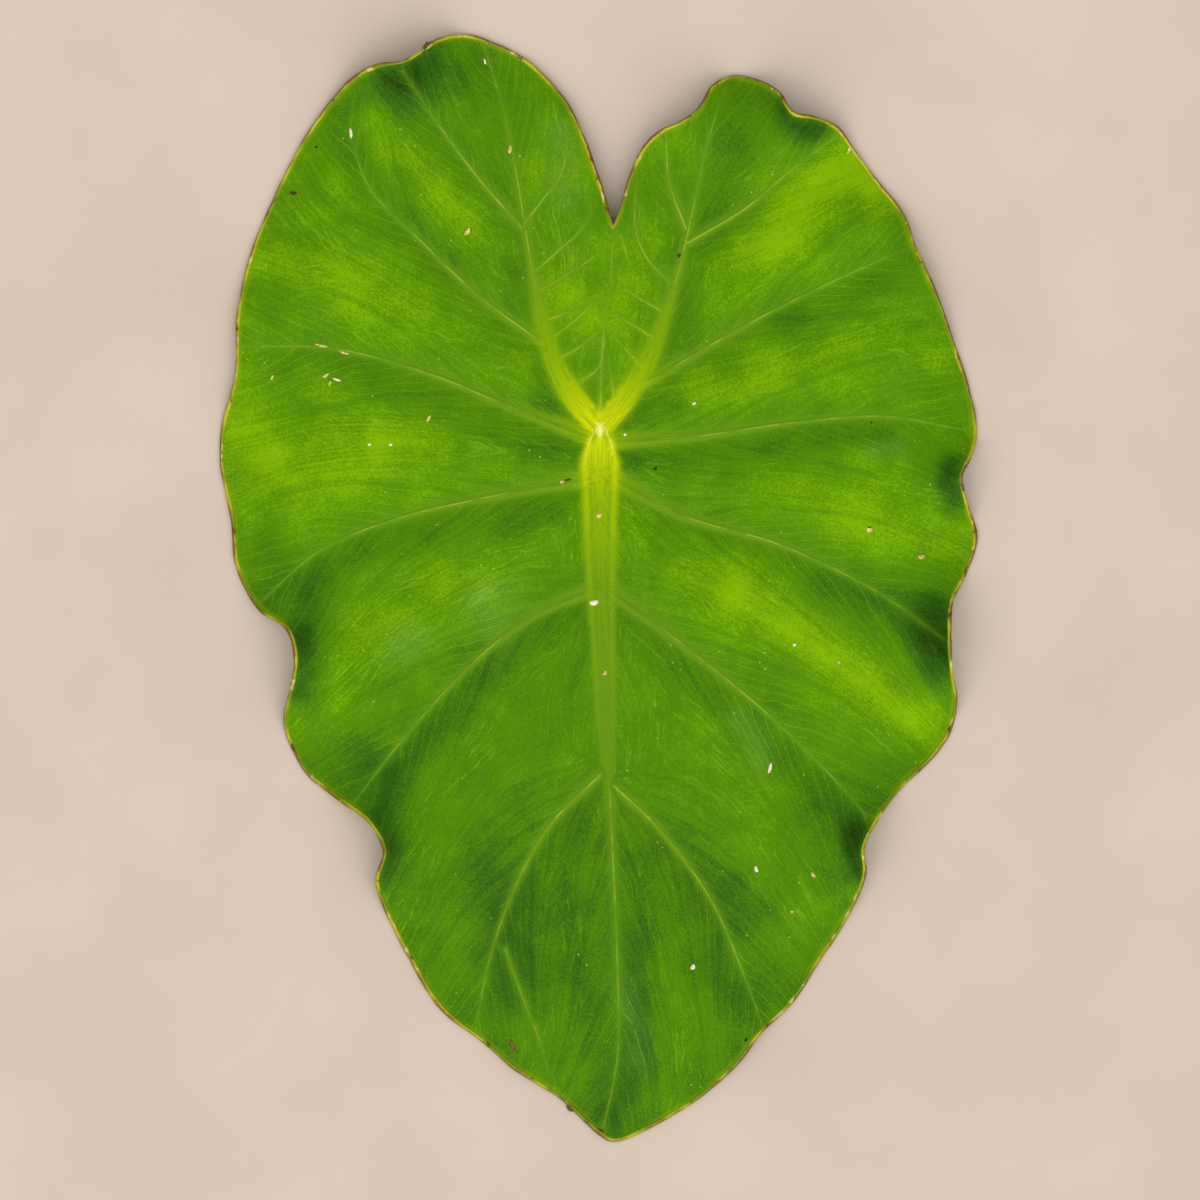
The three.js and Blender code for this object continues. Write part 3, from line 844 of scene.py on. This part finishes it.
def blade_green(leaf, level, lines):
    green = leaf.mix(leaf.ramp(level, -1.9, -0.8), POCKET_SHADE_GREEN, DEEP_AND_SHADED_GREEN)
    green = leaf.mix(leaf.ramp(level, -1.1, 0.15), green, MID_GREEN)
    green = leaf.mix(leaf.ramp(level, 0.0, 1.1), green, BRIGHT_GREEN)
    green = leaf.mix(leaf.times(lines, leaf.ramp(level, -1.3, 0.3, 0.1, 0.46)), green, FINE_GREEN)
    # Whitish places, partly rubbed wax and partly painted sheen.
    scuff_and_sheen = leaf.times(leaf.attribute("scuff_and_sheen"), leaf.ramp(lines, 0.0, 0.6, 0.08, 0.36))
    green = leaf.mix(scuff_and_sheen, green, SCUFF_AND_SHEEN_GREY)
    dots = leaf.ramp(leaf.cells(4.5), 0.05, 0.085, 1.0, 0.0)
    dots = leaf.times(dots, leaf.ramp(leaf.noise(18), 0.5, 0.6), 0.65)
    return leaf.mix(dots, green, DOT_GREEN)


# %% [markdown]
# A rib has a soft halo, a body with fibres along it and, where it is slim, a thin pale core. It is green
# far out and turns yellow towards the stalk. The fine veins feather its edge.


# %% Ribs
def rib_fibres(leaf):
    along = leaf.times(leaf.attribute("vein_run"), 0.07)
    lane = leaf.times(leaf.attribute("vein_gap"), 2.2)
    return leaf.noise(STRETCHED, 2.0, leaf.vector(along, lane, leaf.times(leaf.noise(14), 3.0)))


def rib_colour(leaf, fibre):
    warmth_level = leaf.attribute("warmth")
    colour = leaf.mix(leaf.ramp(warmth_level, 0.05, 0.6), VEIN_GREEN, VEIN_WARM)
    colour = leaf.mix(leaf.ramp(warmth_level, 0.5, 0.95), colour, VEIN_YELLOW)
    colour = leaf.mix(leaf.ramp(fibre, 0.4, 0.75, 0.0, 0.5), colour, HALO_GREEN)
    # Painted shade: a darker line down the middle of the vein, as in a crease.
    crease_shade = leaf.ramp(leaf.attribute("vein_gap"), 0.9, 0.1, 0.0, 0.3)
    return leaf.mix(leaf.times(crease_shade, leaf.attribute("vein_crease_shade")), colour, DEEP_AND_SHADED_GREEN)


def with_ribs(leaf, green, feather, body, fibre):
    strength = leaf.attribute("vein_strength")
    halo = leaf.times(leaf.ramp(feather, 3.4, 0.0), strength, 0.4)
    halo_colour = leaf.mix(leaf.ramp(leaf.attribute("warmth"), 0.1, 0.6), HALO_GREEN, VEIN_WARM)
    colour = leaf.mix(halo, green, halo_colour)
    colour = leaf.mix(body, colour, rib_colour(leaf, fibre))
    core = leaf.ramp(leaf.attribute("vein_gap"), 0.42, 0.12)
    broken = leaf.ramp(leaf.noise(9), 0.4, 0.6, 0.15, 0.75)
    return leaf.mix(leaf.times(core, broken, strength, leaf.attribute("vein_slim")), colour, CORE_GREEN)


# %% [markdown]
# The midrib has yellow shoulders and darker seams, and begins at the stalk in a pale star, partly its own
# yellow and partly a painted highlight on the raised knob, with painted highlights along the midrib's edges
# beside it.
# Beside the rim runs a yellowish band of uneven width, partly the leaf's own colour and partly painted light
# where the edge catches it, so it is lost in the painted shade of the pockets.


# %% Midrib, star and rim
def with_midrib(leaf, colour, fibre):
    midrib = leaf.attribute("midrib_across")
    broad = leaf.attribute("midrib_broad")
    warmth_level = leaf.attribute("warmth")
    stalk = leaf.attribute("stalk_gap")
    shoulder = leaf.times(leaf.band(midrib, 0.6, 0.95, 0.95, 1.6), broad)
    shoulder = leaf.times(shoulder, leaf.ramp(warmth_level, 0.05, 0.9, 0.3, 0.75))
    shoulder_colour = leaf.mix(leaf.ramp(warmth_level, 0.2, 0.9), VEIN_WARM, VEIN_YELLOW)
    colour = leaf.mix(shoulder, colour, shoulder_colour)
    seam = leaf.times(leaf.band(midrib, 0.42, 0.58, 0.6, 0.74), broad, 0.16)
    colour = leaf.mix(seam, colour, HALO_GREEN)
    # Painted highlight along the edges of the midrib near the stalk.
    edge_highlight = leaf.times(leaf.band(midrib, 0.88, 0.98, 1.0, 1.1), leaf.ramp(stalk, 13.0, 3.0), 0.5)
    colour = leaf.mix(edge_highlight, colour, STAR_YELLOW)
    # The pale star at the stalk: its own yellow, with a painted highlight at its core.
    star_and_highlight = leaf.plus(stalk, leaf.ramp(fibre, 0.3, 0.7, -0.9, 0.9))
    return leaf.mix(leaf.ramp(star_and_highlight, 2.8, 0.0, 0.0, 0.95), colour, STAR_YELLOW)


def with_rim(leaf, colour):
    width = leaf.ramp(leaf.noise(30, 2.0), 0.35, 0.65, 0.9, 2.2)
    # The band shows only where the painted light is: partly the rim's own colour, partly painted light.
    lit = leaf.ramp(leaf.attribute("light"), -0.9, -0.2, 0.1, 0.6)
    band = leaf.times(leaf.ramp(leaf.attribute("rim_gap"), width, 0.3), lit)
    return leaf.mix(band, colour, RIM_YELLOW)


# %% [markdown]
# Now the layers are put together, in the order in which they lie on the leaf. The lower face gets its own
# colours, and the fine lines, the net and the fibres also give a slight relief.


# %% Leaf material
def lower_face(leaf, lines):
    colour = leaf.mix(leaf.attribute("rib"), UNDER_GREEN, UNDER_RIB)
    return leaf.mix(leaf.times(lines, 0.5), colour, UNDER_RIB)


def leaf_material():
    leaf = Shader("leaf_tissue")
    phase = leaf.plus(leaf.attribute("fine_phase"), leaf.times(leaf.noise(WOBBLE_SIZE, 2.0), WOBBLE))
    fade = leaf.attribute("fine_fade")
    veins = fine_veins(leaf, phase)
    lines = leaf.maths("MAXIMUM", leaf.times(veins, fade), panel_streaks(leaf))
    net = leaf.ramp(leaf.cells(NET_SIZE, "DISTANCE_TO_EDGE"), 0.02, 0.14, 1.0, 0.0)
    grain = leaf.noise(GRAIN_SIZE, 2.0)
    fibre = rib_fibres(leaf)
    feather = leaf.maths("SUBTRACT", leaf.attribute("vein_edge"), leaf.times(veins, FEATHER_LENGTH))
    body = leaf.times(leaf.ramp(feather, 1.6, -0.9), leaf.attribute("vein_strength"))

    colour = blade_green(leaf, light_level(leaf, phase, fade, net, grain), lines)
    colour = with_ribs(leaf, colour, feather, body, fibre)
    colour = with_midrib(leaf, colour, fibre)
    colour = with_rim(leaf, colour)
    colour = leaf.mix(leaf.attribute("under"), colour, lower_face(leaf, lines))

    relief = leaf.plus(leaf.times(lines, -0.5), leaf.times(grain, 0.4), leaf.times(net, -0.15))
    relief = leaf.plus(relief, leaf.times(fibre, body, 0.8))
    normal = leaf.bump(relief, RELIEF_HEIGHT, RELIEF_STRENGTH)
    return leaf.finish(colour, leaf.ramp(grain, 0.3, 0.7, 0.48, 0.62), normal, specular=LEAF_GLOSS)


blade.data.materials.append(leaf_material())
print("leaf material:", len(blade.data.materials[0].node_tree.nodes), "nodes")

# %% [markdown]
# ## The rim
#
# The very edge of the leaf is a thin glossy cord, yellow green with brown stretches where it has dried and
# cream stretches of painted highlight. It is drawn as a closed curve along the margin with a round bevel of
# uneven radius, then turned into a mesh.

# %% The rim cord
CORD_RADIUS, CORD_INSET, CORD_SINK = 0.68, 0.25, 0.1
CORD_UNEVENNESS, CORD_LUMP = 0.35, 6

cord_line = margin_line[:, :2] + inward * CORD_INSET
margin_top = upper[: len(margin_line)]
cord_curve = bpy.data.curves.new("rim_cord", "CURVE")
cord_curve.dimensions = "3D"
cord_curve.bevel_depth = CORD_RADIUS * MM
cord_curve.bevel_resolution = 2
spline = cord_curve.splines.new("POLY")
spline.points.add(len(cord_line) - 1)
spline.use_cyclic_u = True
for point, (x, y), top in zip(spline.points, cord_line, margin_top):
    point.radius = 1 + CORD_UNEVENNESS * noise.noise(Vector((x, y, 3)) / CORD_LUMP)
    height = max(top - CORD_SINK, CORD_RADIUS * point.radius)
    place = (np.array([x, y, height]) + SHIFT) * MM
    point.co = (*place, 1)
rim_cord = bpy.data.objects.new("rim_cord", cord_curve)
bpy.context.collection.objects.link(rim_cord)
make_active(rim_cord)
bpy.ops.object.convert(target="MESH")
rim_cord = bpy.context.active_object
bpy.ops.object.shade_smooth()
cord_places = np.array([corner.co for corner in rim_cord.data.vertices])[:, :2] / MM - SHIFT[:2]
cord_side = np.where(inside_margin(cord_places), -1, 1)
keep_values(rim_cord, "outside", measure(cord_places, margin_ring)[0] * cord_side)


def rim_material():
    rim = Shader("rim_tissue")
    colour = rim.mix(rim.ramp(rim.noise(14, 2.0), 0.4, 0.6), srgb(126, 148, 16), srgb(188, 190, 36))
    # Cream stretches of painted highlight.
    colour = rim.mix(rim.ramp(rim.noise(5, 3.0), 0.6, 0.66, 0.0, 0.85), colour, srgb(228, 212, 132))
    outside = rim.plus(rim.attribute("outside"), rim.ramp(rim.noise(4, 3.0), 0.3, 0.7, -0.3, 0.3))
    dried = rim.times(rim.ramp(outside, 0.05, 0.4), rim.ramp(rim.noise(12, 2.0), 0.35, 0.6, 0.3, 0.9))
    colour = rim.mix(dried, colour, srgb(116, 78, 8))
    colour = rim.mix(rim.ramp(rim.noise(4, 3.0), 0.63, 0.69, 0.0, 0.8), colour, srgb(84, 52, 16))
    return rim.finish(colour, 0.35, specular=0.3)


rim_cord.data.materials.append(rim_material())
print("rim cord:", len(rim_cord.data.polygons), "faces")

# %% [markdown]
# ## Flecks
#
# Chips of dry tissue, grains and dark specks lie on the blade. One chip is modelled from a ball that is
# flattened, bent and roughened. Each fleck is then a copy with its own mesh, stretched, turned and laid
# on the upper face. Places are pixels of the 1200 by 1200 photo frame, sizes are millimetres, and the
# turn is in degrees.

# %% Flecks on the blade
CHIP_ROUGHNESS, CHIP_GRAIN, CHIP_BEND = 0.16, 5, 0.5
CHIP_FLATNESS, CHIP_LIFT = 0.35, 0.1
PX_PER_MM = 3
STALK_PX = (600, 430)
FLECKS = [
    # Pale chips and grains
    ("pale", 594, 603, 3.0, 1.7, 10), ("tan", 869, 530, 2.4, 1.6, -20), ("tan", 921, 557, 2.2, 1.4, 10),
    ("pale", 770, 768, 3.6, 1.0, 75), ("tan", 813, 875, 2.2, 1.0, -50), ("pale", 693, 967, 2.0, 1.4, 60),
    ("pale", 756, 869, 2.2, 1.2, -70), ("tan", 510, 150, 3.0, 1.1, 80), ("tan", 468, 232, 3.0, 1.5, 50),
    ("pale", 351, 133, 3.6, 1.0, 95), ("tan", 326, 376, 2.4, 0.8, 30), ("pale", 337, 380, 2.8, 0.7, -20),
    ("tan", 330, 384, 1.8, 0.7, 70), ("tan", 429, 419, 2.4, 0.9, 60), ("tan", 272, 378, 1.8, 0.7, 60),
    ("pale", 370, 445, 1.2, 0.9, 0), ("pale", 391, 445, 1.2, 0.9, 0), ("pale", 794, 645, 1.2, 1.0, 0),
    ("tan", 839, 662, 1.3, 1.0, 0), ("tan", 792, 912, 1.2, 0.9, 0), ("tan", 599, 516, 2.2, 1.3, 20),
    ("tan", 605, 673, 1.8, 1.1, 50), ("tan", 849, 150, 2.6, 1.0, 70), ("tan", 562, 482, 1.4, 1.0, 0),
    ("pale", 694, 404, 1.4, 0.9, 30), ("pale", 625, 435, 1.0, 0.9, 0), ("pale", 485, 62, 2.6, 0.7, 100),
    ("tan", 322, 346, 5.0, 0.7, -14), ("tan", 344, 353, 3.4, 0.7, -18),
    # Dark specks and the brown scar near the tip
    ("dark", 655, 469, 1.4, 1.1, 30), ("dark", 679, 256, 1.5, 1.2, 0), ("dark", 293, 193, 2.4, 1.0, -10),
    ("dark", 316, 147, 1.0, 0.8, 0), ("dark", 871, 423, 1.0, 0.8, 0), ("dark", 746, 1040, 1.4, 1.0, 60),
    ("scar", 513, 1047, 5.0, 1.3, -65), ("hook", 571, 1109, 3.6, 2.0, -25),
    ("dark", 600, 1132, 2.2, 1.5, -40),
    ("dark", 568, 480, 2.2, 0.6, 15), ("dark", 470, 231, 1.6, 0.9, 50), ("dark", 869, 528, 1.2, 0.7, 0),
    # The torn hook on the rim of the left lobe
    ("hook", 424, 52, 6.0, 1.4, 62), ("hook", 430, 45, 3.0, 1.2, 20),
]


def model_chip():
    """A chip one unit long: a ball, bent and roughened. Each copy is flattened when it is laid."""
    bpy.ops.object.select_all(action="DESELECT")
    bpy.ops.mesh.primitive_uv_sphere_add(segments=20, ring_count=12, radius=0.5)
    chip = bpy.context.active_object
    for corner in chip.data.vertices:
        rough = CHIP_ROUGHNESS * noise.noise(corner.co * CHIP_GRAIN)
        bend = CHIP_BEND * corner.co.x ** 2
        corner.co = corner.co * (1 + rough) + Vector((0, bend, 0))
    bpy.ops.object.shade_smooth()
    return chip


def fleck_material(name, light, dark):
    fleck = Shader(name)
    colour = fleck.mix(fleck.ramp(fleck.noise(0.8, 3.0), 0.35, 0.65), light, dark)
    return fleck.finish(colour, 0.6, specular=0.2)


FLECK_MATERIALS = {
    "pale": fleck_material("pale_chip", srgb(255, 250, 226), srgb(232, 216, 160)),
    "tan": fleck_material("tan_chip", srgb(240, 224, 148), srgb(186, 166, 70)),
    "dark": fleck_material("dark_speck", srgb(78, 62, 22), srgb(40, 38, 8)),
    "scar": fleck_material("brown_scar", srgb(122, 112, 34), srgb(92, 66, 22)),
    "hook": fleck_material("torn_rim", srgb(104, 112, 30), srgb(52, 60, 8)),
}


def lay(chip, name, kind, px, length, width, turn):
    """A copy of the chip with its own mesh, lying on the upper face at a place in the photo."""
    x = (px[0] - STALK_PX[0]) / PX_PER_MM
    y = (STALK_PX[1] - px[1]) / PX_PER_MM
    ground = upper[np.hypot(flat[:, 0] - x, flat[:, 1] - y).argmin()]
    place = Matrix.Translation(Vector((np.array([x, y, ground + CHIP_LIFT]) + SHIFT) * MM))
    size = Matrix.Diagonal((length * MM, width * MM, CHIP_FLATNESS * width * MM, 1))
    piece = bpy.data.objects.new(name, chip.data.copy())
    piece.data.transform(place @ Matrix.Rotation(math.radians(turn), 4, "Z") @ size)
    piece.data.materials.append(FLECK_MATERIALS[kind])
    bpy.context.collection.objects.link(piece)
    return piece


chip = model_chip()
flecks = []
for number, (kind, px_x, px_y, length, width, turn) in enumerate(FLECKS):
    flecks.append(lay(chip, f"fleck_{number:02d}", kind, (px_x, px_y), length, width, turn))
bpy.data.objects.remove(chip)
print("flecks:", len(flecks))

# %% [markdown]
# ## Floor, light and camera
#
# The leaf lies on a plain pale sheet. A plane with a trace of cloud in its colour is enough, and it sits
# a hair below the leaf so that the two never share a surface.

# %% Floor
FLOOR_SIZE, FLOOR_DROP = 12.0, 0.0002
bpy.ops.object.select_all(action="DESELECT")
bpy.ops.mesh.primitive_plane_add(size=FLOOR_SIZE, location=(0, 0, -FLOOR_DROP))
floor = bpy.context.active_object
floor.name = "floor"


def floor_material():
    paper = Shader("pale_floor")
    cloud = paper.noise(60, 3.0)
    colour = paper.mix(paper.ramp(cloud, 0.3, 0.7), srgb(222, 204, 190), srgb(218, 199, 184))
    return paper.finish(colour, 0.9, specular=0.1)


floor.data.materials.append(floor_material())
print("floor:", FLOOR_SIZE, "m square")

# %% [markdown]
# A lamp close by would leave the floor bright in one place and dim in another. So a very broad sun over
# the tip end models the waves, and an even sky fills the shadows.

# %% Light
SUN_STRENGTH, SUN_ELEVATION, SUN_SPREAD = 1.75, 56, 95
SKY_STRENGTH = 0.53

sun_light = bpy.data.lights.new("key_sun", "SUN")
sun_light.energy = SUN_STRENGTH
sun_light.angle = math.radians(SUN_SPREAD)
sun = bpy.data.objects.new("key_sun", sun_light)
sun.rotation_euler = (math.radians(90 - SUN_ELEVATION), 0, 0)
bpy.context.collection.objects.link(sun)

world = bpy.data.worlds.new("soft_sky")
world.use_nodes = True
world.node_tree.nodes["Background"].inputs["Color"].default_value = (1, 0.98, 0.95, 1)
world.node_tree.nodes["Background"].inputs["Strength"].default_value = SKY_STRENGTH
bpy.context.scene.world = world
bpy.context.scene.view_settings.view_transform = "Standard"
print("sun", SUN_ELEVATION, "degrees high, spread over", SUN_SPREAD)

# %% [markdown]
# The camera looks straight down. A long lens from well above keeps the heights of the waves from shifting
# the outline. The frame is the photo's square, placed by the pixel where the stalk joins.

# %% Camera
PHOTO_SIDE = 1200
LENS, SENSOR = 250, 36
VIEW_PLANE = 4

view_side = PHOTO_SIDE / PX_PER_MM
centre_x = (PHOTO_SIDE / 2 - STALK_PX[0]) / PX_PER_MM + SHIFT[0]
centre_y = (STALK_PX[1] - PHOTO_SIDE / 2) / PX_PER_MM + SHIFT[1]
camera_data = bpy.data.cameras.new("camera")
camera_data.lens = LENS
camera_data.sensor_width = SENSOR
camera = bpy.data.objects.new("camera", camera_data)
camera.location = (centre_x * MM, centre_y * MM, (VIEW_PLANE + view_side * LENS / SENSOR) * MM)
bpy.context.collection.objects.link(camera)
bpy.context.scene.camera = camera
print("camera", round(camera.location.z, 2), "m above the table")

# %% [markdown]
# ## Hand over
#
# The blade stands for the solid, which stays for collision.

# %% Ride and finish
for piece in (blade, rim_cord, *flecks):
    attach(piece, "root")
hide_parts(LEAF_NODE)
